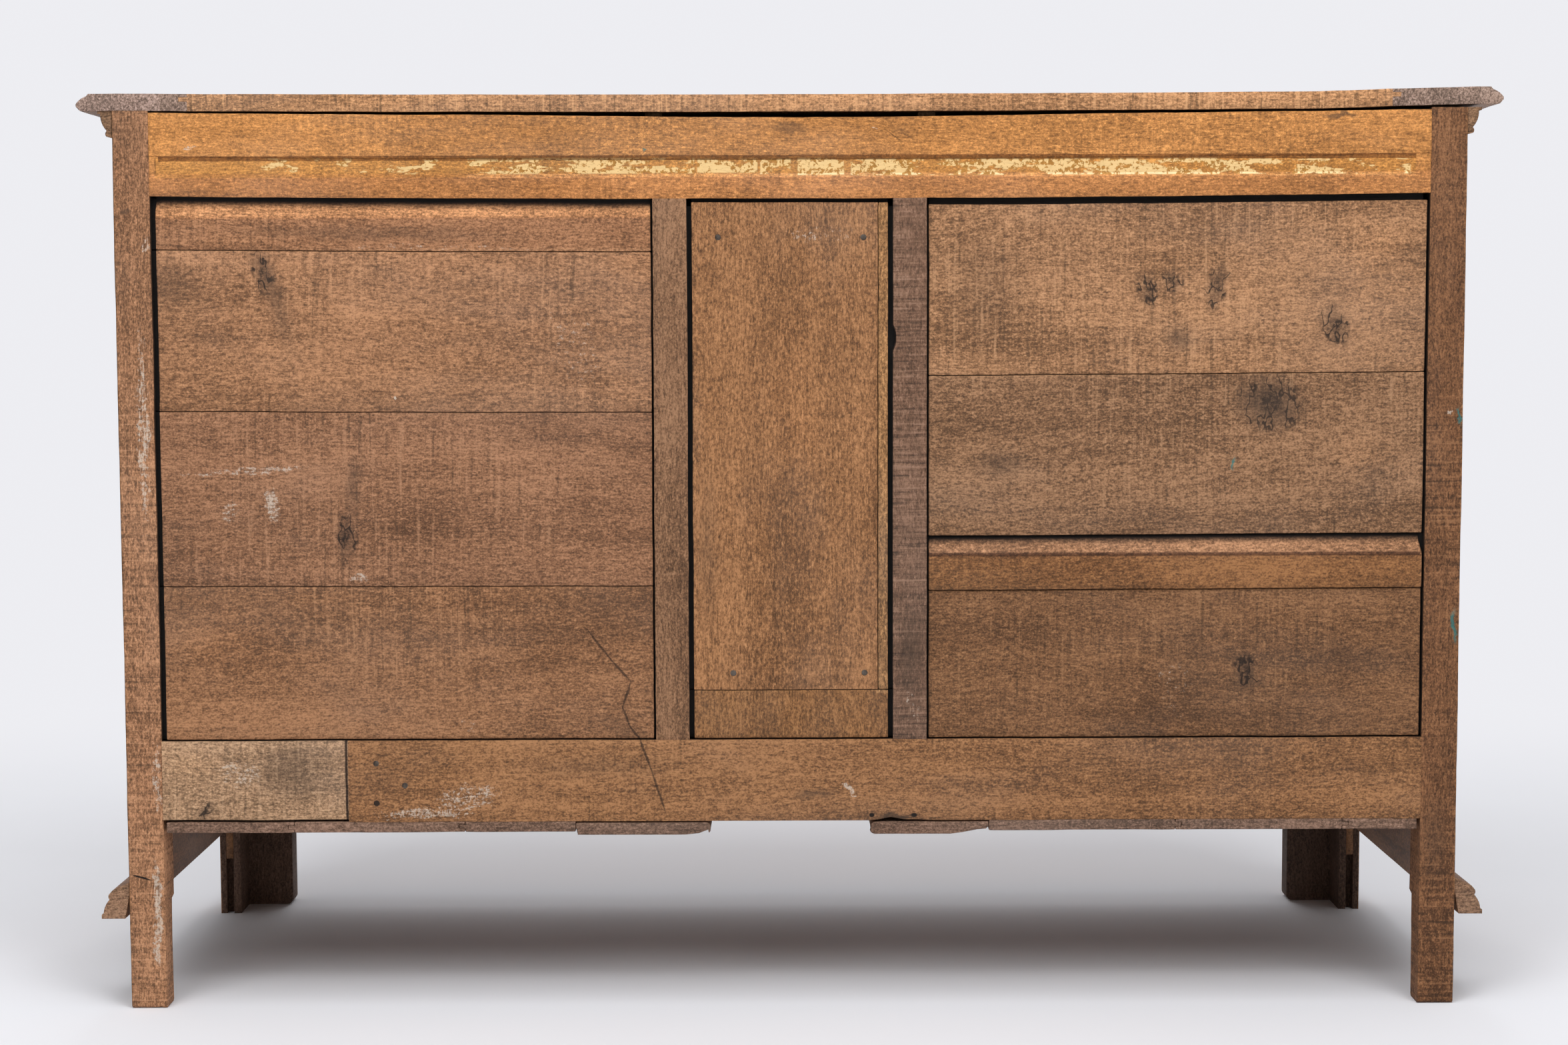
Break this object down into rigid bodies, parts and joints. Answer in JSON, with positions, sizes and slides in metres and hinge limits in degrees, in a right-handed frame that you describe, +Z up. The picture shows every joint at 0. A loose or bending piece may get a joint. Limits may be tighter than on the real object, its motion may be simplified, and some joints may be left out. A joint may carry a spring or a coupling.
{
  "type": "sideboard",
  "caption": "Free-standing oak sideboard with panelled cupboards either side of a stack of drawers, and a framed plank back.",
  "frame": {"origin": "on the floor, at the middle of the space that the sideboard fills", "axes": "+X to the right as seen from the front, along the sideboard; +Y from the front to the back; +Z up"},
  "size_m": [1.6886, 0.636, 1.1],
  "materials": {
    "oak_back_frame": "rough-sawn aged oak, dry",
    "oak_back_boards": "rough-sawn aged oak, dry",
    "oak_front": "planed aged oak, waxed",
    "oak_top": "planed aged oak, waxed",
    "oak_inside": "planed oak, bare",
    "oak_peg": "cleft oak, dry",
    "iron": "blackened iron",
    "steel_bolt": "filed steel",
    "aged_brass": "aged brass"
  },
  "bodies": {
    "carcass": {"pegs": "oak_peg", "nails": "iron", "rear_post_left": "oak_back_frame", "rear_post_right": "oak_back_frame", "back_top_rail": "oak_back_frame", "back_bottom_rail": "oak_back_frame", "back_rail_splice": "oak_back_frame", "back_muntin_left": "oak_back_frame", "back_muntin_right": "oak_back_frame", "back_board_right_1": "oak_back_boards", "back_board_right_2": "oak_back_boards", "back_board_right_3": "oak_back_boards", "back_board_right_4": "oak_back_boards", "back_board_left_1": "oak_back_boards", "back_board_left_2": "oak_back_boards", "back_board_left_3": "oak_back_boards", "back_board_left_4": "oak_back_boards", "back_centre_board": "oak_back_boards", "back_centre_patches": "oak_back_boards", "side_left": "oak_front", "side_right": "oak_front", "front_post_left": "oak_front", "front_post_right": "oak_front", "front_top_rail": "oak_front", "front_bottom_rail": "oak_front", "front_muntins": "oak_front", "drawer_dividers": "oak_front", "partitions": "oak_inside", "bearers": "oak_inside", "floor_boards": "oak_inside", "shelves": "oak_inside", "top_end_boards": "oak_top", "top_boards": "oak_top", "cornice_moulding": "oak_front", "base_moulding": "oak_front", "hinge_plates_and_pins": "iron"},
    "door_left": {"door_left_frame": "oak_front", "door_left_panel": "oak_front", "door_left_ironwork": "iron", "door_left_escutcheon": "aged_brass"},
    "door_left_lock_bolt": {"door_left_bolt": "steel_bolt"},
    "door_left_lock_key": {"door_left_key": "iron"},
    "door_right": {"door_right_frame": "oak_front", "door_right_panel": "oak_front", "door_right_ironwork": "iron", "door_right_escutcheon": "aged_brass"},
    "door_right_lock_bolt": {"door_right_bolt": "steel_bolt"},
    "door_right_lock_key": {"door_right_key": "iron"},
    "drawer_1_box": {"drawer_1": "oak_front", "drawer_1_pull_plate": "aged_brass"},
    "drawer_1_handle": {"drawer_1_bail": "aged_brass"},
    "drawer_2_box": {"drawer_2": "oak_front", "drawer_2_pull_plate": "aged_brass"},
    "drawer_2_handle": {"drawer_2_bail": "aged_brass"},
    "drawer_3_box": {"drawer_3": "oak_front", "drawer_3_pull_plate": "aged_brass"},
    "drawer_3_handle": {"drawer_3_bail": "aged_brass"},
    "drawer_4_box": {"drawer_4": "oak_front", "drawer_4_pull_plate": "aged_brass"},
    "drawer_4_handle": {"drawer_4_bail": "aged_brass"}
  },
  "joints": [
    {"name": "door_left_hinge", "type": "hinge", "parent": "carcass", "child": "door_left", "pos_m": [-0.71125, -0.2828, 0.6], "axis": [0, 0, -1], "range_deg": [0, 170]},
    {"name": "door_left_key_turn", "type": "hinge", "parent": "door_left", "child": "door_left_lock_key", "pos_m": [-0.205, -0.276, 0.61], "axis": [0, -1, 0], "range_deg": [0, 180]},
    {"name": "door_left_bolt_slide", "type": "slide", "parent": "door_left", "child": "door_left_lock_bolt", "axis": [1, 0, 0], "range_m": [0, 0.012]},
    {"name": "door_right_hinge", "type": "hinge", "parent": "carcass", "child": "door_right", "pos_m": [0.71125, -0.2828, 0.6], "axis": [0, 0, 1], "range_deg": [0, 170]},
    {"name": "door_right_key_turn", "type": "hinge", "parent": "door_right", "child": "door_right_lock_key", "pos_m": [0.205, -0.276, 0.61], "axis": [0, 1, 0], "range_deg": [0, 180]},
    {"name": "door_right_bolt_slide", "type": "slide", "parent": "door_right", "child": "door_right_lock_bolt", "axis": [-1, 0, 0], "range_m": [0, 0.012]},
    {"name": "drawer_1_slide", "type": "slide", "parent": "carcass", "child": "drawer_1_box", "axis": [0, -1, 0], "range_m": [0, 0.4]},
    {"name": "drawer_1_bail_swing", "type": "hinge", "parent": "drawer_1_box", "child": "drawer_1_handle", "pos_m": [0, -0.291, 0.326], "axis": [-1, 0, 0], "range_deg": [0, 95]},
    {"name": "drawer_2_slide", "type": "slide", "parent": "carcass", "child": "drawer_2_box", "axis": [0, -1, 0], "range_m": [0, 0.4]},
    {"name": "drawer_2_bail_swing", "type": "hinge", "parent": "drawer_2_box", "child": "drawer_2_handle", "pos_m": [0, -0.291, 0.524], "axis": [-1, 0, 0], "range_deg": [0, 95]},
    {"name": "drawer_3_slide", "type": "slide", "parent": "carcass", "child": "drawer_3_box", "axis": [0, -1, 0], "range_m": [0, 0.4]},
    {"name": "drawer_3_bail_swing", "type": "hinge", "parent": "drawer_3_box", "child": "drawer_3_handle", "pos_m": [0, -0.291, 0.722], "axis": [-1, 0, 0], "range_deg": [0, 95]},
    {"name": "drawer_4_slide", "type": "slide", "parent": "carcass", "child": "drawer_4_box", "axis": [0, -1, 0], "range_m": [0, 0.4]},
    {"name": "drawer_4_bail_swing", "type": "hinge", "parent": "drawer_4_box", "child": "drawer_4_handle", "pos_m": [0, -0.291, 0.92], "axis": [-1, 0, 0], "range_deg": [0, 95]}
  ],
  "couplings": [
    {"joint": "door_left_key_turn", "follows": "door_left_bolt_slide", "rad_per_m": 261.79},
    {"joint": "door_right_key_turn", "follows": "door_right_bolt_slide", "rad_per_m": 261.79}
  ]
}
